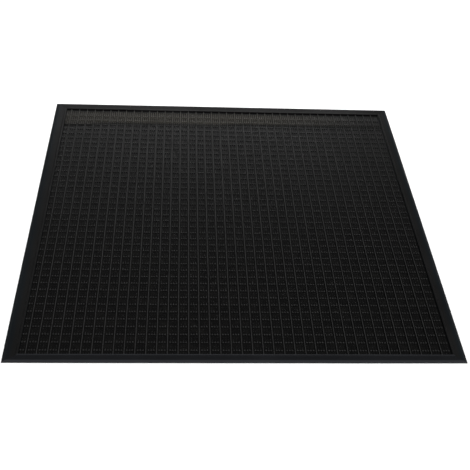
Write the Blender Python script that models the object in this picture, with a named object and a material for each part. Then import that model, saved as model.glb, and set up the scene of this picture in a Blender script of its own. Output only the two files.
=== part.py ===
"""Door mat: a black rubber scraper panel with upright ribs, framed by four mitred edging strips.

Metres, +Z up. The origin is on the floor under the middle of the mat. +X runs to the right, across
the ribs, and +Y runs to the back, along the ribs.
"""

import math

import bmesh
import bpy

# Overall size of the mat
MAT_WIDTH = 0.868
MAT_DEPTH = 0.888

# Clearance kept between pieces that are bonded together on the real mat
GAP = 0.0003

# Scraper panel: a flat web that carries the ribs
WEB_THICKNESS = 0.0025
WEB_LAP = 0.008  # how far the web runs in under each edging strip

# Ribs: thin upright blades, one at every cell of the pattern
CELL = 0.020
RIB_COUNT = 40
FIRST_RIB_FROM_LEFT = 0.042
RIB_TOP = 0.007
RIB_FOOT_WIDTH = 0.0018
RIB_CREST_WIDTH = 0.0012
RIB_CHAMFER = 0.0003

# Edging strips: how wide each one is, from the mat's outer edge to the wall around the panel
FRONT_WIDTH = 0.0158
BACK_WIDTH = 0.0330
LEFT_WIDTH = 0.0296
RIGHT_WIDTH = 0.0262

# Edging section: heights above the floor
TOE_HEIGHT = 0.0015
BEVEL_HEIGHT = 0.0050
DECK_HEIGHT = 0.0058
RIDGE_HEIGHT = 0.0082

# Edging section: distances in from the outer edge, as shares of the strip's width
BEVEL_SHARE = 0.25
RIDGE_FOOT_SHARE = 0.80
RIDGE_OUTER_SHARE = 0.86
RIDGE_INNER_SHARE = 0.95
WALL_TOP_SHARE = 0.985
RIDGE_ROUNDING = 0.0008

RUBBER_BLACK = (0.012, 0.012, 0.013, 1.0)
EDGING_BLACK = (0.015, 0.016, 0.018, 1.0)
RIB_BLACK = (0.020, 0.020, 0.021, 1.0)


def clear_scene():
    for thing in list(bpy.data.objects):
        bpy.data.objects.remove(thing, do_unlink=True)


def rubber(name, colour, roughness):
    material = bpy.data.materials.new(name)
    material.use_nodes = True
    shader = material.node_tree.nodes["Principled BSDF"]
    shader.inputs["Base Color"].default_value = colour
    shader.inputs["Roughness"].default_value = roughness
    shader.inputs["Metallic"].default_value = 0.0
    return material


def prism_mesh(name, first_outline, last_outline):
    """A closed solid between two outlines that have the same number of points."""
    model = bmesh.new()
    first = [model.verts.new(point) for point in first_outline]
    last = [model.verts.new(point) for point in last_outline]
    count = len(first)
    for i in range(count):
        j = (i + 1) % count
        model.faces.new((first[i], first[j], last[j], last[i]))
    model.faces.new(first[::-1])
    model.faces.new(last)
    bmesh.ops.recalc_face_normals(model, faces=model.faces)
    mesh = bpy.data.meshes.new(name)
    model.to_mesh(mesh)
    model.free()
    return mesh


def place(name, mesh, material, location, turn=0.0):
    piece = bpy.data.objects.new(name, mesh)
    if not mesh.materials:
        mesh.materials.append(material)
    piece.location = location
    piece.rotation_euler = (0.0, 0.0, turn)
    piece.parent = MAT
    bpy.context.scene.collection.objects.link(piece)
    return piece


def edging_section(width):
    """The strip's outline as (distance in from the outer edge, height), starting at the floor.

    The underside is stepped: its outer part stands on the floor and its inner part laps over the web.
    """
    lap_start = width - WEB_LAP - GAP
    lap_height = WEB_THICKNESS + GAP
    return [
        (0.0, 0.0),
        (lap_start, 0.0),
        (lap_start, lap_height),
        (width, lap_height),
        (WALL_TOP_SHARE * width, RIDGE_HEIGHT - RIDGE_ROUNDING),
        (RIDGE_INNER_SHARE * width, RIDGE_HEIGHT),
        (RIDGE_OUTER_SHARE * width, RIDGE_HEIGHT),
        (RIDGE_FOOT_SHARE * width, DECK_HEIGHT),
        (BEVEL_SHARE * width, BEVEL_HEIGHT),
        (0.0, TOE_HEIGHT),
    ]


def mitre(distance_in, width, neighbour_width):
    """How far the mitred end is cut back at this distance in, with half the gap kept clear of the cut."""
    clearance = GAP / 2 * math.hypot(width, neighbour_width) / width
    return distance_in * neighbour_width / width + clearance


def make_edging(name, material, length, width, start_width, end_width, location, turn):
    """One strip along its local X, with its outer edge on Y = 0 and the panel towards +Y."""
    section = edging_section(width)
    start = [(mitre(y, width, start_width) - length / 2, y, z) for y, z in section]
    end = [(length / 2 - mitre(y, width, end_width), y, z) for y, z in section]
    place(name, prism_mesh(name, start, end), material, location, turn)


def make_all_edging():
    black = rubber("edging_rubber", EDGING_BLACK, 0.45)
    half_width = MAT_WIDTH / 2
    half_depth = MAT_DEPTH / 2
    make_edging(
        "edging_front", black, MAT_WIDTH, FRONT_WIDTH, LEFT_WIDTH, RIGHT_WIDTH,
        (0.0, -half_depth, 0.0), 0.0,
    )
    make_edging(
        "edging_right", black, MAT_DEPTH, RIGHT_WIDTH, FRONT_WIDTH, BACK_WIDTH,
        (half_width, 0.0, 0.0), math.pi / 2,
    )
    make_edging(
        "edging_back", black, MAT_WIDTH, BACK_WIDTH, RIGHT_WIDTH, LEFT_WIDTH,
        (0.0, half_depth, 0.0), math.pi,
    )
    make_edging(
        "edging_left", black, MAT_DEPTH, LEFT_WIDTH, BACK_WIDTH, FRONT_WIDTH,
        (-half_width, 0.0, 0.0), -math.pi / 2,
    )


def make_web():
    left = -MAT_WIDTH / 2 + LEFT_WIDTH - WEB_LAP
    right = MAT_WIDTH / 2 - RIGHT_WIDTH + WEB_LAP
    front = -MAT_DEPTH / 2 + FRONT_WIDTH - WEB_LAP
    back = MAT_DEPTH / 2 - BACK_WIDTH + WEB_LAP
    corners = [(left, front), (right, front), (right, back), (left, back)]
    underside = [(x, y, 0.0) for x, y in corners]
    top = [(x, y, WEB_THICKNESS) for x, y in corners]
    mesh = prism_mesh("panel_web", underside, top)
    place("panel_web", mesh, rubber("panel_rubber", RUBBER_BLACK, 0.6), (0.0, 0.0, 0.0))


def rib_outline():
    """The blade's outline across its length, as (x, z): a tapered blade with a chamfered crest."""
    foot = RIB_FOOT_WIDTH / 2
    crest = RIB_CREST_WIDTH / 2
    bottom = WEB_THICKNESS + GAP
    shoulder = RIB_TOP - RIB_CHAMFER
    return [
        (-foot, bottom),
        (foot, bottom),
        (crest, shoulder),
        (crest - RIB_CHAMFER, RIB_TOP),
        (RIB_CHAMFER - crest, RIB_TOP),
        (-crest, shoulder),
    ]


def make_ribs():
    front = -MAT_DEPTH / 2 + FRONT_WIDTH + GAP
    back = MAT_DEPTH / 2 - BACK_WIDTH - GAP
    outline = rib_outline()
    mesh = prism_mesh(
        "scraper_rib",
        [(x, front, z) for x, z in outline],
        [(x, back, z) for x, z in outline],
    )
    black = rubber("rib_rubber", RIB_BLACK, 0.5)
    first = -MAT_WIDTH / 2 + FIRST_RIB_FROM_LEFT
    for i in range(RIB_COUNT):
        place(f"scraper_rib_{i + 1:02d}", mesh, black, (first + i * CELL, 0.0, 0.0))


clear_scene()
MAT = bpy.data.objects.new("door_mat", None)
bpy.context.scene.collection.objects.link(MAT)
make_web()
make_ribs()
make_all_edging()
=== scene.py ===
"""Looks of a black rubber scraper door mat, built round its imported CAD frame.

The CAD web stays and gets a better material. Each rib and each edging strip is replaced by a moulded
piece with rounded edges, and the pins between the ribs, which have no CAD solids, are made here.
"""

import math

import bpy
import numpy as np
from mathutils import Matrix, Vector


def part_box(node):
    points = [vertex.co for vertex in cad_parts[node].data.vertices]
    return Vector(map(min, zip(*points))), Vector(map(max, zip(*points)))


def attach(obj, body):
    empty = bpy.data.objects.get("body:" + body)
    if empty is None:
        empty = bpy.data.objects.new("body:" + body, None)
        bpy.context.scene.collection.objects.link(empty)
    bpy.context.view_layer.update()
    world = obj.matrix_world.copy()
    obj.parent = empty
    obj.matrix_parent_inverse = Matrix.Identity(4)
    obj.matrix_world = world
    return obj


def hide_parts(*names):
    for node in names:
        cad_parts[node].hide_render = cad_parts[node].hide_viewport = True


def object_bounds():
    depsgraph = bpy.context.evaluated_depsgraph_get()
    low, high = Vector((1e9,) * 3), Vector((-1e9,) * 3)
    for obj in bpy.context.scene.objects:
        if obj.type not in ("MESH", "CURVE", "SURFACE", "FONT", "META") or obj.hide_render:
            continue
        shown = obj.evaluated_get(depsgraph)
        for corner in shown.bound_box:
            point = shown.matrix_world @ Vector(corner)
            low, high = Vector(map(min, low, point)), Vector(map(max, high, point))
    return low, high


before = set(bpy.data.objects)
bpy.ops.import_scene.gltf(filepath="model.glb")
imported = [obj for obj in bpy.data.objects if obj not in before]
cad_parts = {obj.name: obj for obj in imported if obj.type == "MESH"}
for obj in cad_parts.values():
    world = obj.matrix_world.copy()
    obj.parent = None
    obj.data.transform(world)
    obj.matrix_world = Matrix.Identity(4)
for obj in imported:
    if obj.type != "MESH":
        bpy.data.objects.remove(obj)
CAD_LOW, CAD_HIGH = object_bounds()
MM = 0.001

# Places read from the frame
RIB_NODES = sorted(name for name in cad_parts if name.startswith("scraper_rib_"))
RIB_BOXES = [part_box(name) for name in RIB_NODES]
RIB_X = [(low.x + high.x) / 2 for low, high in RIB_BOXES]
RIB_LOW, RIB_HIGH = RIB_BOXES[0]
CELL = (RIB_X[-1] - RIB_X[0]) / (len(RIB_X) - 1)
WEB_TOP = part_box("panel_web")[1].z
LEFT_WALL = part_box("edging_left")[1].x
RIGHT_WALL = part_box("edging_right")[0].x
FRONT_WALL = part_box("edging_front")[1].y
BACK_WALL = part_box("edging_back")[0].y

# Pattern of the panel
CELL_PINS = 4  # pin pitches from one rib to the next
PIN_PITCH = CELL / CELL_PINS
FIRST_ROW_FROM_FRONT = 26.1 * MM  # the first tall row, from the mat's front edge
WALL_CLEARANCE = 1.6 * MM  # from a pin's middle to the wall beside it, at least
BACK_CLEARANCE = 5 * MM  # from the back wall to the last line of pins, at least
TALL_ROW_CLEARANCE = 12 * MM  # from the back wall to the last tall row, at least
ROOT_DEPTH = 0.2 * MM  # how far pins and ribs are rooted in the web
TALL_PIN_TOP = RIB_HIGH.z
LOW_PIN_TOP = TALL_PIN_TOP - 2.2 * MM
TALL_PIN_STRETCH = 1.6  # the tall pins are oval, wider across the mat
RIB_FOOT = RIB_HIGH.x - RIB_LOW.x
RIB_CREST = 1.4 * MM
RIB_ROUNDING = 0.42 * MM

# Section of the edging strips: heights, and places across as shares of a strip's width
TOE_HEIGHT = 1.5 * MM
BEVEL_HEIGHT = 5.0 * MM
DECK_HEIGHT = 5.8 * MM
RIDGE_HEIGHT = CAD_HIGH.z
BEVEL_END = 0.25
RIDGE_FOOT = 0.81
RIDGE_START = 0.86
RIDGE_END = 0.985
LAP_GAP = 0.3 * MM
WEB_LAP = LEFT_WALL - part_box("panel_web")[0].x
BOW = 0.35 * MM  # how far the middle of a side bulges beyond its corners
STATION = 12 * MM  # step of the loft along a strip


# ---------------------------------------------------------------- mesh helpers

SMOOTH_ANGLE = 40.0
PIN_SMOOTH_ANGLE = 60.0
ARC_STEPS = 4
WAVES = 4
WAVE_SPREAD = (0.6, 1.6)


def mesh_piece(name, points, faces, material, smooth_angle=SMOOTH_ANGLE):
    mesh = bpy.data.meshes.new(name)
    mesh.from_pydata(points, [], faces)
    mesh.materials.append(material)
    mesh.shade_smooth()
    mesh.set_sharp_from_angle(angle=math.radians(smooth_angle))
    piece = bpy.data.objects.new(name, mesh)
    bpy.context.scene.collection.objects.link(piece)
    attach(piece, "root")
    return piece


def fillet(before, corner, after, radius):
    """Points of an arc of this radius that rounds one corner of an outline."""
    before, corner, after = Vector(before), Vector(corner), Vector(after)
    towards_before = (before - corner).normalized()
    towards_after = (after - corner).normalized()
    half = towards_before.angle(towards_after) / 2
    reach = radius / math.tan(half)
    centre = corner + (towards_before + towards_after).normalized() * radius / math.sin(half)
    start = corner + towards_before * reach - centre
    end = corner + towards_after * reach - centre
    sweep = start.angle(end)
    points = []
    for i in range(ARC_STEPS + 1):
        share = i / ARC_STEPS
        weight_start = math.sin((1 - share) * sweep) / math.sin(sweep)
        weight_end = math.sin(share * sweep) / math.sin(sweep)
        points.append(centre + start * weight_start + end * weight_end)
    return points


def rounded_outline(corners):
    """A closed outline whose corners (x, z, radius) are rounded; a radius of 0 leaves a corner sharp."""
    outline = []
    for i, (x, z, radius) in enumerate(corners):
        before = corners[i - 1]
        after = corners[(i + 1) % len(corners)]
        if radius == 0:
            outline.append(Vector((x, z)))
        else:
            outline += fillet(before[:2], (x, z), after[:2], radius)
    return outline


def loft_faces(rings, ring_size):
    """Faces of a tube of rings with both ends closed, the points listed ring by ring."""
    faces = []
    for r in range(rings - 1):
        for i in range(ring_size):
            j = (i + 1) % ring_size
            a, b = r * ring_size, (r + 1) * ring_size
            faces.append((a + i, a + j, b + j, b + i))
    faces.append(tuple(reversed(range(ring_size))))
    faces.append(tuple(range((rings - 1) * ring_size, rings * ring_size)))
    return faces


def ripple(seed, wavelength, size):
    """A smooth, seeded wander along a length: the mean of a few sine waves near this wavelength."""
    draw = np.random.default_rng(seed)
    waves = []
    for _ in range(WAVES):
        wave = draw.uniform(*WAVE_SPREAD) * wavelength
        phase = draw.uniform(0, 2 * math.pi)
        waves.append((wave, phase))

    def at(distance):
        total = sum(math.sin(2 * math.pi * distance / wave + phase) for wave, phase in waves)
        return size * total / WAVES

    return at


# ---------------------------------------------------------------- material helpers

class Nodes:
    """A material's node tree, with short calls for adding and joining nodes."""

    def __init__(self, name):
        self.material = bpy.data.materials.new(name)
        self.material.use_nodes = True
        self.tree = self.material.node_tree
        self.shader = self.tree.nodes["Principled BSDF"]
        self.place = self.add("ShaderNodeTexCoord").outputs["Object"]

    def add(self, kind, **inputs):
        node = self.tree.nodes.new(kind)
        for key, value in inputs.items():
            node.inputs[key.replace("_", " ")].default_value = value
        return node

    def join(self, output, socket):
        self.tree.links.new(output, socket)

    def fill(self, socket, value):
        """Join a socket to another node's output, or set it to a number."""
        if isinstance(value, (int, float)):
            socket.default_value = value
        else:
            self.join(value, socket)

    def noise(self, scale, detail=3.0, roughness=0.55, stretch=None):
        node = self.add("ShaderNodeTexNoise", Scale=scale, Detail=detail, Roughness=roughness)
        place = self.place
        if stretch:
            mapping = self.add("ShaderNodeMapping", Scale=stretch)
            self.join(place, mapping.inputs["Vector"])
            place = mapping.outputs["Vector"]
        self.join(place, node.inputs["Vector"])
        return node.outputs["Fac"]

    def wander(self, value, scale):
        """A one-dimensional noise along a value."""
        node = self.add("ShaderNodeTexNoise", Scale=scale, Detail=2.0)
        node.noise_dimensions = "1D"
        self.join(value, node.inputs["W"])
        return node.outputs["Fac"]

    def along(self, axis):
        """The object coordinate along one axis, in metres."""
        node = self.tree.nodes.new("ShaderNodeSeparateXYZ")
        self.join(self.place, node.inputs["Vector"])
        return node.outputs[axis]

    def spread(self, value, low, high, to_low=0.0, to_high=1.0, soft=False):
        """value mapped from low..high to to_low..to_high, and held there; soft eases both ends."""
        node = self.add("ShaderNodeMapRange")
        node.interpolation_type = "SMOOTHSTEP" if soft else "LINEAR"
        node.inputs["From Min"].default_value = low
        node.inputs["From Max"].default_value = high
        node.inputs["To Min"].default_value = to_low
        node.inputs["To Max"].default_value = to_high
        self.join(value, node.inputs["Value"])
        return node.outputs["Result"]

    def maths(self, operation, first, second):
        node = self.tree.nodes.new("ShaderNodeMath")
        node.operation = operation
        self.fill(node.inputs[0], first)
        self.fill(node.inputs[1], second)
        return node.outputs["Value"]

    def product(self, first, *others):
        for other in others:
            first = self.maths("MULTIPLY", first, other)
        return first

    def blend(self, share, first, second):
        """A colour from first to second; each is a colour or another colour's output."""
        node = self.tree.nodes.new("ShaderNodeMix")
        node.data_type = "RGBA"
        self.join(share, node.inputs["Factor"])
        for socket, value in ((node.inputs[6], first), (node.inputs[7], second)):
            if isinstance(value, tuple):
                socket.default_value = (*value, 1.0)
            else:
                self.join(value, socket)
        return node.outputs[2]

    def shaded(self, colour, factor):
        """The colour made lighter or darker by a factor."""
        node = self.tree.nodes.new("ShaderNodeVectorMath")
        node.operation = "SCALE"
        self.join(colour, node.inputs["Vector"])
        self.join(factor, node.inputs["Scale"])
        return node.outputs["Vector"]

    def bump(self, heights):
        """Bump from a list of (height output, distance in metres), laid one over another."""
        normal = None
        for output, distance in heights:
            node = self.add("ShaderNodeBump", Strength=1.0, Distance=distance)
            self.join(output, node.inputs["Height"])
            if normal is not None:
                self.join(normal, node.inputs["Normal"])
            normal = node.outputs["Normal"]
        self.join(normal, self.shader.inputs["Normal"])

    def finish(self, colour, roughness, specular):
        self.join(colour, self.shader.inputs["Base Color"])
        self.join(roughness, self.shader.inputs["Roughness"])
        self.shader.inputs["Specular IOR Level"].default_value = specular
        return self.material


# Tints: colours of about unit brightness
NEUTRAL = (1.00, 1.00, 1.00)
FAINT_BLUE = (0.96, 1.00, 1.11)
FAINT_TEAL = (0.84, 1.00, 1.13)
WARM = (1.00, 0.94, 0.82)


def tinted(grey, tint):
    """A grey leaning towards a tint."""
    return tuple(grey * part for part in tint)


def neutral(grey):
    return tinted(grey, NEUTRAL)


# ---------------------------------------------------------------- rubber of the edging strips

# Heights between which one part of a strip's skin turns into the next
BEVEL_TO_DECK = (BEVEL_HEIGHT - 0.8 * MM, BEVEL_HEIGHT + 0.1 * MM)
OUTER_TO_INNER_DECK = (BEVEL_HEIGHT + 0.15 * MM, BEVEL_HEIGHT + 0.5 * MM)
DECK_TO_RIDGE = (RIDGE_HEIGHT - 1.2 * MM, RIDGE_HEIGHT - 0.3 * MM)

MOTTLE = 0.14  # how much the skin's brightness varies from patch to patch, up and down
SCUFF_SHARE = 0.25
SCUFF_BRIGHTNESS = 2.2  # of the scuffs, against the deck's grey
HIGHLIGHT_PATCH_X = -0.15  # middle of a painted highlight patch on the back strip
HIGHLIGHT_PATCH_REACH = (30 * MM, 100 * MM)  # it starts to fade, and it has faded, this far from its middle


def edging_rubber(name, outer, inner, bevel, deck, ridge, specular, painted_highlight=0.0):
    """Smooth moulded skin. Bevel, deck and ridge have their own greys, which carry painted highlights and
    painted shade; outer and inner are tints.

    A painted highlight patch is brighter than the rest of the strip by the share given for it.
    """
    nodes = Nodes(name)
    patches = nodes.noise(scale=9.0, detail=4.0)
    height = nodes.along("Z")
    colour = nodes.blend(nodes.spread(height, *BEVEL_TO_DECK), tinted(bevel, outer), tinted(deck, outer))
    colour = nodes.blend(nodes.spread(height, *OUTER_TO_INNER_DECK), colour, tinted(deck, inner))
    colour = nodes.blend(nodes.spread(height, *DECK_TO_RIDGE), colour, tinted(ridge, inner))
    colour = nodes.shaded(colour, nodes.spread(patches, 0.3, 0.7, 1 - MOTTLE, 1 + MOTTLE))
    # painted highlight: a patch of the strip made brighter around one X
    if painted_highlight:
        beside = nodes.maths("ABSOLUTE", nodes.maths("SUBTRACT", nodes.along("X"), HIGHLIGHT_PATCH_X), 0.0)
        colour = nodes.shaded(colour, nodes.spread(beside, *HIGHLIGHT_PATCH_REACH, 1 + painted_highlight, 1.0, soft=True))
    streaks = nodes.noise(scale=260.0, detail=5.0, roughness=0.7, stretch=(1.0, 1.0, 0.2))
    scuffs = nodes.product(nodes.spread(streaks, 0.60, 0.74), SCUFF_SHARE)
    colour = nodes.blend(scuffs, colour, neutral(SCUFF_BRIGHTNESS * deck))
    roughness = nodes.spread(patches, 0.35, 0.65, 0.40, 0.52)
    unevenness = nodes.noise(scale=14.0)
    grain = nodes.noise(scale=900.0, detail=2.0)
    nodes.bump([(unevenness, 1.0 * MM), (grain, 0.06 * MM)])
    return nodes.finish(colour, roughness, specular)


# ---------------------------------------------------------------- rubber of the panel

# Painted sheen: a grey laid over the panel, standing in for the glare of the light behind the mat, that
# grows with the distance from the front wall, raised to a power
PAINTED_SHEEN_GROWTH = 2.5
PAINTED_SHEEN_THINS_FROM_X = 0.22
PAINTED_SHEEN_AT_RIGHT_WALL = 0.7

# A warm, lighter band by the back wall, up to a wavy line with a darker, rougher stretch in front of it
WARM_BAND_REACH = 74 * MM  # from the back wall to the line's left end, without its waves
WARM_BAND_WAVES = 6 * MM
WARM_BAND_EDGE = (1 * MM, 7 * MM)  # behind the line, where the warm band starts and where it is whole
WARM_BAND_WALL_SHADE = (BACK_WALL - 6 * MM, BACK_WALL - 4.5 * MM)  # painted shade: the band ends here, short of the wall, leaving the panel dark along it
DARK_STRETCH_EDGE = (-7 * MM, -2 * MM)  # in front of the line, where the darker stretch starts and where it is whole
DARK_STRETCH_FACTOR = 0.58
DARK_STRETCH_ROUGHNESS = 0.25

# Along X: start and end of each step of the line, and how far it takes the line back
WARM_BAND_STEPS = [(LEFT_WALL + 10 * MM, LEFT_WALL + 120 * MM, 11 * MM), (-20 * MM, 60 * MM, 4 * MM)]

# Along X: start and end of each fade of the warm band, and the band's share at both
WARM_BAND_FADES = [(0.10, 0.36, 1.0, 0.05), (-0.42, -0.25, 0.55, 1.0)]

# Painted shade: next to the back wall the crests keep little of their paler worn colour
CREST_WALL_SHADE = (BACK_WALL - 6 * MM, BACK_WALL - 3 * MM)
WEAR_IN_WALL_SHADE = 0.1


def upper_side(nodes):
    """0 on the web's underside, 1 near its top and on everything above it."""
    return nodes.spread(nodes.along("Z"), 0.4 * WEB_TOP, 0.8 * WEB_TOP)


def with_painted_sheen(nodes, colour, overlay):
    """A painted sheen: a grey laid over the moulded skin, growing towards the back wall."""
    depth = nodes.spread(nodes.along("Y"), FRONT_WALL, BACK_WALL)
    to_right = nodes.spread(nodes.along("X"), PAINTED_SHEEN_THINS_FROM_X, RIGHT_WALL, 1.0, PAINTED_SHEEN_AT_RIGHT_WALL)
    share = nodes.product(nodes.maths("POWER", depth, PAINTED_SHEEN_GROWTH), to_right, upper_side(nodes))
    return nodes.blend(share, colour, neutral(overlay))


def warm_band_line(nodes, x):
    """Y of the line where the warm band ends, which steps back from the left to the right."""
    line = nodes.product(nodes.wander(x, 9.0), WARM_BAND_WAVES)
    for start, end, step in WARM_BAND_STEPS:
        line = nodes.maths("ADD", line, nodes.spread(x, start, end, 0.0, step, soft=True))
    return nodes.maths("ADD", line, BACK_WALL - WARM_BAND_REACH)


def with_warm_band(nodes, colour, roughness, warm_band_grey):
    """The warm band, of this grey, and the darker, rougher stretch before its line, laid over a colour
    and its roughness.
    """
    x, y = nodes.along("X"), nodes.along("Y")
    beyond = nodes.maths("SUBTRACT", y, warm_band_line(nodes, x))
    overlay = nodes.spread(beyond, *WARM_BAND_EDGE)
    fades = [nodes.spread(x, *fade) for fade in WARM_BAND_FADES]
    # painted shade: the band is taken away next to the back wall
    painted_wall_shade = nodes.spread(y, *WARM_BAND_WALL_SHADE, 1.0, 0.0)
    share = nodes.product(overlay, *fades, painted_wall_shade, upper_side(nodes))
    dark_stretch = nodes.product(
        nodes.maths("SUBTRACT", nodes.spread(beyond, *DARK_STRETCH_EDGE), overlay),
        upper_side(nodes),
    )
    colour = nodes.blend(share, colour, tinted(warm_band_grey, WARM))
    colour = nodes.shaded(colour, nodes.spread(dark_stretch, 0.0, 1.0, 1.0, DARK_STRETCH_FACTOR))
    roughness = nodes.maths("ADD", roughness, nodes.product(dark_stretch, DARK_STRETCH_ROUGHNESS))
    return colour, roughness


def panel_rubber(name, crest_height, wear_depth, skin, overlay, worn, warm_band_grey, specular):
    """Moulded black rubber whose crests, near crest_height, are worn paler over wear_depth.

    The greys, in order, are the rubber's, the painted sheen's laid over it, the worn crests' and the warm
    band's by the back wall.
    """
    nodes = Nodes(name)
    patches = nodes.noise(scale=6.0)
    colour = nodes.blend(patches, neutral(0.8 * skin), neutral(1.2 * skin))
    # painted sheen laid over the colour, growing towards the back wall
    colour = with_painted_sheen(nodes, colour, overlay)
    wear = nodes.spread(nodes.along("Z"), crest_height - wear_depth, crest_height)
    broken = nodes.spread(nodes.noise(scale=420.0), 0.30, 0.62, 0.74, 1.0)
    # painted shade: the paler crests are darkened next to the back wall
    painted_wall_shade = nodes.spread(nodes.along("Y"), *CREST_WALL_SHADE, 1.0, WEAR_IN_WALL_SHADE)
    colour = nodes.blend(nodes.product(wear, broken, painted_wall_shade), colour, neutral(worn))
    roughness = nodes.spread(patches, 0.3, 0.7, 0.55, 0.68)
    colour, roughness = with_warm_band(nodes, colour, roughness, warm_band_grey)
    nodes.bump([(nodes.noise(scale=1500.0, detail=2.0), 0.04 * MM)])
    return nodes.finish(colour, roughness, specular)


def web_rubber(name, skin, dirt, overlay, warm_band_grey, specular):
    """The flat sheet between the pins: matt, with patches of fine dirt, whose colour is given."""
    nodes = Nodes(name)
    patches = nodes.spread(nodes.noise(scale=40.0, detail=5.0, roughness=0.65), 0.45, 0.8)
    colour = nodes.blend(patches, neutral(skin), dirt)
    # painted sheen laid over the colour, growing towards the back wall
    colour = with_painted_sheen(nodes, colour, overlay)
    roughness = nodes.spread(patches, 0.0, 1.0, 0.6, 0.8)
    colour, roughness = with_warm_band(nodes, colour, roughness, warm_band_grey)
    nodes.bump([(nodes.noise(scale=1200.0, detail=2.0), 0.05 * MM)])
    return nodes.finish(colour, roughness, specular)


def make_web():
    """The panel's web is the CAD node itself, with a better material."""
    material = web_rubber(
        "web_rubber_skin", skin=0.0042, dirt=(0.0080, 0.0078, 0.0073),
        overlay=0.016, warm_band_grey=0.012, specular=0.06,
    )
    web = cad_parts["panel_web"]
    web.data.materials.clear()
    web.data.materials.append(material)


# ---------------------------------------------------------------- edging strips

# Ripples of a strip's outer edge, sideways, and of its height
EDGE_WANDER = {"wavelength": 0.33, "size": 0.12 * MM}
EDGE_SAG = {"wavelength": 0.12, "size": 0.10 * MM}
EDGE_SAG_SEED = 50


def edging_outline(width):
    """The strip's section as (distance in from the outer edge, height)."""
    lap_start = width - WEB_LAP - LAP_GAP
    lap_height = WEB_TOP + LAP_GAP
    return rounded_outline([
        (0.0, 0.0, 0.3 * MM),
        (lap_start, 0.0, 0.0),
        (lap_start, lap_height, 0.0),
        (width, lap_height, 0.0),
        (RIDGE_END * width, RIDGE_HEIGHT, 0.9 * MM),
        (RIDGE_START * width, RIDGE_HEIGHT, 0.9 * MM),
        (RIDGE_FOOT * width, DECK_HEIGHT, 1.0 * MM),
        (BEVEL_END * width, BEVEL_HEIGHT, 4.0 * MM),
        (0.0, TOE_HEIGHT, 0.7 * MM),
    ])


def mitre(across, width, neighbour_width):
    """How far from the corner the mitred end is, this far across, with half a gap to the neighbour."""
    return (across * neighbour_width + LAP_GAP / 2 * math.hypot(width, neighbour_width)) / width


def make_edging(node, width, widths_beside, start, end, material, seed):
    """A mitred strip between two corners, its outer edge bowed and a little uneven."""
    width_before, width_after = widths_beside
    length = (end - start).length
    along = (end - start).normalized()
    inwards = Vector((-along.y, along.x, 0))
    outline = edging_outline(width)
    stations = round(length / STATION)
    wander = ripple(seed, **EDGE_WANDER)
    sag = ripple(EDGE_SAG_SEED + seed, **EDGE_SAG)
    points = []
    for s in range(stations + 1):
        share = s / stations
        for across, height in outline:
            from_start = mitre(across, width, width_before)
            from_end = mitre(across, width, width_after)
            distance = from_start + share * (length - from_start - from_end)
            outer = 1.0 - across / width
            drift = (wander(distance) - BOW) * outer * math.sin(math.pi * share) ** 0.5
            lift = sag(distance) * height / RIDGE_HEIGHT
            place = start + along * distance + inwards * (across + drift)
            points.append((place.x, place.y, min(RIDGE_HEIGHT, height + lift) if height else 0.0))
    piece = mesh_piece(node + "_moulded", points, loft_faces(stations + 1, len(outline)), material)
    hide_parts(node)


def make_all_edging():
    """Front, right, back and left strip, anticlockwise from the near left corner."""
    # The strip skins are lit and shaded copies of one rubber. The front one holds a painted highlight on
    # its bevel and ridge. The back one holds a painted highlight on its ridge, a painted highlight patch,
    # and painted shade in its darker bevel and deck.
    front_lit_skin = edging_rubber(
        "edging_rubber_front_lit", outer=FAINT_BLUE, inner=FAINT_BLUE,
        bevel=0.0190, deck=0.0086, ridge=0.0185, specular=0.035,
    )
    side_skin = edging_rubber(
        "edging_rubber_sides", outer=FAINT_TEAL, inner=NEUTRAL,
        bevel=0.0102, deck=0.0084, ridge=0.0085, specular=0.026,
    )
    back_lit_and_shaded_skin = edging_rubber(
        "edging_rubber_back_lit_and_shaded", outer=NEUTRAL, inner=NEUTRAL,
        bevel=0.0022, deck=0.0044, ridge=0.0105, specular=0.015, painted_highlight=0.6,
    )
    strips = ["edging_front", "edging_right", "edging_back", "edging_left"]
    materials = [front_lit_skin, side_skin, back_lit_and_shaded_skin, side_skin]
    widths = [
        FRONT_WALL - CAD_LOW.y,
        CAD_HIGH.x - RIGHT_WALL,
        CAD_HIGH.y - BACK_WALL,
        LEFT_WALL - CAD_LOW.x,
    ]
    corners = [
        Vector((CAD_LOW.x, CAD_LOW.y, 0)),
        Vector((CAD_HIGH.x, CAD_LOW.y, 0)),
        Vector((CAD_HIGH.x, CAD_HIGH.y, 0)),
        Vector((CAD_LOW.x, CAD_HIGH.y, 0)),
    ]
    for i, node in enumerate(strips):
        following = (i + 1) % len(strips)
        widths_beside = (widths[i - 1], widths[following])
        start, end = corners[i], corners[following]
        make_edging(node, widths[i], widths_beside, start, end, materials[i], seed=i + 1)


# ---------------------------------------------------------------- ribs

# Ripples of a rib's crest, sideways and in height
RIB_LEAN = {"wavelength": 0.16, "size": 0.12 * MM}
RIB_DIP = {"wavelength": 0.09, "size": 0.10 * MM}
RIB_LEAN_SEED = 100
RIB_DIP_SEED = 200


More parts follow.
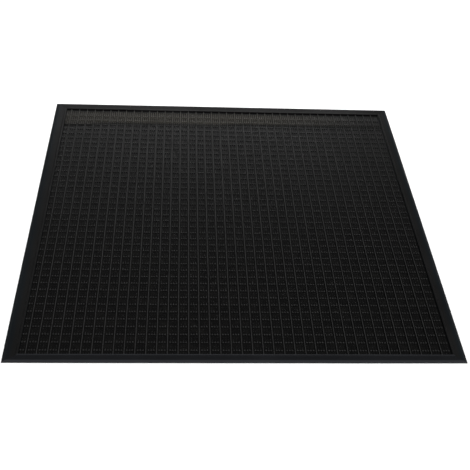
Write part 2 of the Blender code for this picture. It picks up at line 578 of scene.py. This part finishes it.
def make_ribs():
    material = panel_rubber(
        "rib_rubber_worn", crest_height=TALL_PIN_TOP, wear_depth=1.2 * MM,
        skin=0.0072, overlay=0.015, worn=0.028, warm_band_grey=0.050, specular=0.052,
    )
    outline = rounded_outline([
        (-RIB_FOOT / 2, WEB_TOP - ROOT_DEPTH, 0.0),
        (-RIB_CREST / 2, RIB_HIGH.z, RIB_ROUNDING),
        (RIB_CREST / 2, RIB_HIGH.z, RIB_ROUNDING),
        (RIB_FOOT / 2, WEB_TOP - ROOT_DEPTH, 0.0),
    ])
    front, back = RIB_LOW.y, RIB_HIGH.y
    stations = round((back - front) / (CELL / 2))
    for i, (node, x) in enumerate(zip(RIB_NODES, RIB_X)):
        lean = ripple(RIB_LEAN_SEED + i, **RIB_LEAN)
        dip = ripple(RIB_DIP_SEED + i, **RIB_DIP)
        points = []
        for s in range(stations + 1):
            y = front + (back - front) * s / stations
            for across, height in outline:
                rise = (height - WEB_TOP) / (RIB_HIGH.z - WEB_TOP)
                points.append((x + across + lean(y) * rise, y, height + dip(y) * rise))
        piece = mesh_piece(node + "_moulded", points, loft_faces(stations + 1, len(outline)), material)
        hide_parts(node)


# ---------------------------------------------------------------- pins

# How pins differ: girth as a factor, growth in mm, and the usual lean and turn in radians
PIN_SEED = 7
PIN_GIRTH = (0.96, 1.04)
PIN_GROWTH_MM = (-0.10, 0.04)
PIN_LEAN = 0.018
PIN_TURN = 0.08


def turned(profile, sides, stretch=1.0):
    """Points and faces of a closed turned solid from (radius, height) pairs; stretch widens it in X."""
    angles = [2 * math.pi * k / sides for k in range(sides)]
    points = [(stretch * r * math.cos(a), r * math.sin(a), z) for r, z in profile for a in angles]
    return np.array(points), loft_faces(len(profile), sides)


def pins_piece(name, template, places, material, draw):
    """One mesh of many pins, each a little different in girth, height, lean and turn."""
    shape, faces = template
    count = len(places)
    girth = draw.uniform(*PIN_GIRTH, count)
    growth = draw.uniform(*PIN_GROWTH_MM, count) * MM
    lean = draw.normal(0.0, PIN_LEAN, (count, 2))
    turn = draw.normal(0.0, PIN_TURN, count)
    height = (shape[:, 2] - WEB_TOP).clip(0)
    rise = height / height.max()
    points = []
    for i, (x, y) in enumerate(places):
        c, s = math.cos(turn[i]) * girth[i], math.sin(turn[i]) * girth[i]
        pin_x = x + shape[:, 0] * c - shape[:, 1] * s + lean[i, 0] * height
        pin_y = y + shape[:, 0] * s + shape[:, 1] * c + lean[i, 1] * height
        points.append(np.column_stack((pin_x, pin_y, shape[:, 2] + growth[i] * rise)))
    size = len(shape)
    all_faces = [tuple(size * i + v for v in face) for i in range(count) for face in faces]
    return mesh_piece(name, np.concatenate(points).tolist(), all_faces, material, PIN_SMOOTH_ANGLE)


def pin_columns():
    """X places of the pins: three between neighbouring ribs, and what fits beside the outer ribs."""
    places = []
    x = RIB_X[0] - PIN_PITCH
    while x > LEFT_WALL + WALL_CLEARANCE:
        places.append(x)
        x -= PIN_PITCH
    for rib in RIB_X[:-1]:
        places += [rib + k * PIN_PITCH for k in range(1, CELL_PINS)]
    x = RIB_X[-1] + PIN_PITCH
    while x < RIGHT_WALL - WALL_CLEARANCE:
        places.append(x)
        x += PIN_PITCH
    return sorted(places)


def pin_bands():
    """Places of the pins by (row, whether the pins are tall), rows counted from the front wall."""
    columns = pin_columns()
    first_row = CAD_LOW.y + FIRST_ROW_FROM_FRONT
    first = math.ceil((FRONT_WALL + WALL_CLEARANCE - first_row) / PIN_PITCH)
    last = math.floor((BACK_WALL - BACK_CLEARANCE - first_row) / PIN_PITCH)
    bands = {}
    for line in range(first, last + 1):
        row, step = divmod(line, CELL_PINS)
        y = first_row + line * PIN_PITCH
        is_tall = step == 0 and y < BACK_WALL - TALL_ROW_CLEARANCE
        bands.setdefault((row + 1, is_tall), []).extend((x, y) for x in columns)
    return bands


def make_pins():
    tall_material = panel_rubber(
        "pin_rubber_worn", crest_height=TALL_PIN_TOP, wear_depth=1.2 * MM,
        skin=0.0074, overlay=0.018, worn=0.0255, warm_band_grey=0.052, specular=0.12,
    )
    low_material = panel_rubber(
        "panel_rubber_skin", crest_height=LOW_PIN_TOP, wear_depth=1.5 * MM,
        skin=0.0042, overlay=0.0145, worn=0.0064, warm_band_grey=0.054, specular=0.72,
    )
    base = WEB_TOP - ROOT_DEPTH
    tall = turned([
        (1.30 * MM, base),
        (1.16 * MM, WEB_TOP + 2.2 * MM),
        (1.08 * MM, TALL_PIN_TOP - 0.30 * MM),
        (0.86 * MM, TALL_PIN_TOP),
    ], sides=12, stretch=TALL_PIN_STRETCH)
    low = turned([
        (1.10 * MM, base),
        (0.72 * MM, LOW_PIN_TOP - 0.35 * MM),
        (0.40 * MM, LOW_PIN_TOP),
    ], sides=8)
    draw = np.random.default_rng(PIN_SEED)
    for (row, is_tall), places in sorted(pin_bands().items()):
        if is_tall:
            piece = pins_piece(f"tall_pins_{row:02d}", tall, places, tall_material, draw)
        else:
            piece = pins_piece(f"low_pins_{row:02d}", low, places, low_material, draw)


# ---------------------------------------------------------------- stage, light and camera

FLOOR_REACH = 30.0
FLOOR_DROP = 0.2 * MM  # keeps the floor clear of the mat's underside
BACKDROP_RADIUS = 28.0
BACKDROP_HEIGHT = 20.0
BACKDROP_SIDES = 48


def stage_material(name, **inputs):
    material = bpy.data.materials.new(name)
    material.use_nodes = True
    shader = material.node_tree.nodes["Principled BSDF"]
    for key, value in inputs.items():
        shader.inputs[key.replace("_", " ")].default_value = value
    return material


def stage_object(name, points, faces, material):
    mesh = bpy.data.meshes.new(name)
    mesh.from_pydata(points, [], faces)
    mesh.materials.append(material)
    stage = bpy.data.objects.new(name, mesh)
    bpy.context.scene.collection.objects.link(stage)
    return stage


def make_floor():
    material = stage_material(
        "studio_floor", Base_Color=(0.90, 0.90, 0.90, 1.0), Roughness=0.9, Specular_IOR_Level=0.0,
    )
    reach = FLOOR_REACH
    corners = [(-reach, -reach, 0), (reach, -reach, 0), (reach, reach, 0), (-reach, reach, 0)]
    floor = stage_object("studio_floor", corners, [(0, 1, 2, 3)], material)
    floor.location.z = CAD_LOW.z - FLOOR_DROP


def make_backdrop():
    """A white wall all round, far away, that only the camera sees and that lights nothing."""
    material = stage_material(
        "studio_backdrop", Base_Color=(0, 0, 0, 1), Emission_Color=(1, 1, 1, 1), Emission_Strength=1.0,
    )
    sides = BACKDROP_SIDES
    angles = [2 * math.pi * k / sides for k in range(sides)]
    ring = [(BACKDROP_RADIUS * math.cos(a), BACKDROP_RADIUS * math.sin(a)) for a in angles]
    points = [(x, y, z) for z in (0.0, BACKDROP_HEIGHT) for x, y in ring]
    faces = [(k, (k + 1) % sides, sides + (k + 1) % sides, sides + k) for k in range(sides)]
    wall = stage_object("studio_backdrop", points, faces, material)
    wall.visible_diffuse = False
    wall.visible_glossy = False
    wall.visible_shadow = False


def add_light(name, kind, energy, place, aim, glossy=True, **settings):
    data = bpy.data.lights.new(name, kind)
    data.energy = energy
    for key, value in settings.items():
        setattr(data, key, value)
    light = bpy.data.objects.new(name, data)
    light.location = place
    light.rotation_euler = (Vector(aim) - Vector(place)).to_track_quat("-Z", "Y").to_euler()
    light.visible_camera = False
    light.visible_glossy = glossy
    bpy.context.scene.collection.objects.link(light)


def make_light():
    """A soft key from the front, of which only a little shines, and a low strip behind the mat."""
    world = bpy.data.worlds.new("studio")
    world.use_nodes = True
    background = world.node_tree.nodes["Background"]
    background.inputs["Color"].default_value = (0.9, 0.95, 1.0, 1.0)
    background.inputs["Strength"].default_value = 0.015
    bpy.context.scene.world = world
    key = {"place": (0.25, -1.0, 1.9), "aim": (0, 0, 0), "angle": math.radians(50)}
    add_light("key", "SUN", energy=4.0, glossy=False, **key)
    add_light("key_sheen", "SUN", energy=0.3, **key)
    strip = {"shape": "RECTANGLE", "size": 1.1, "size_y": 0.16}
    add_light("back", "AREA", energy=5.0, place=(0.0, 0.9, 0.28), aim=(0.0, 0.2, 0.0), **strip)


# The view: angles in degrees, distance and target in metres, lens and sensor in millimetres
VIEW_AZIMUTH = 4.915
VIEW_ELEVATION = 40.239
VIEW_ROLL = 3.815
VIEW_DISTANCE = 1.8643
VIEW_TARGET = Vector((0.0095, -0.0764, 0.0))
VIEW_LENS = 65.374
VIEW_SENSOR = 36.0


def make_camera():
    azimuth, elevation = math.radians(VIEW_AZIMUTH), math.radians(VIEW_ELEVATION)
    forward = Vector((
        math.sin(azimuth) * math.cos(elevation),
        math.cos(azimuth) * math.cos(elevation),
        -math.sin(elevation),
    ))
    data = bpy.data.cameras.new("view")
    data.sensor_width = VIEW_SENSOR
    data.lens = VIEW_LENS
    camera = bpy.data.objects.new("view", data)
    turn = forward.to_track_quat("-Z", "Y").to_matrix() @ Matrix.Rotation(math.radians(VIEW_ROLL), 3, "Z")
    camera.matrix_world = Matrix.Translation(VIEW_TARGET - forward * VIEW_DISTANCE) @ turn.to_4x4()
    bpy.context.scene.collection.objects.link(camera)
    bpy.context.scene.camera = camera
    bpy.context.scene.view_settings.view_transform = "Standard"


make_camera()
make_floor()
make_backdrop()
make_light()
make_all_edging()
make_ribs()
make_pins()
make_web()
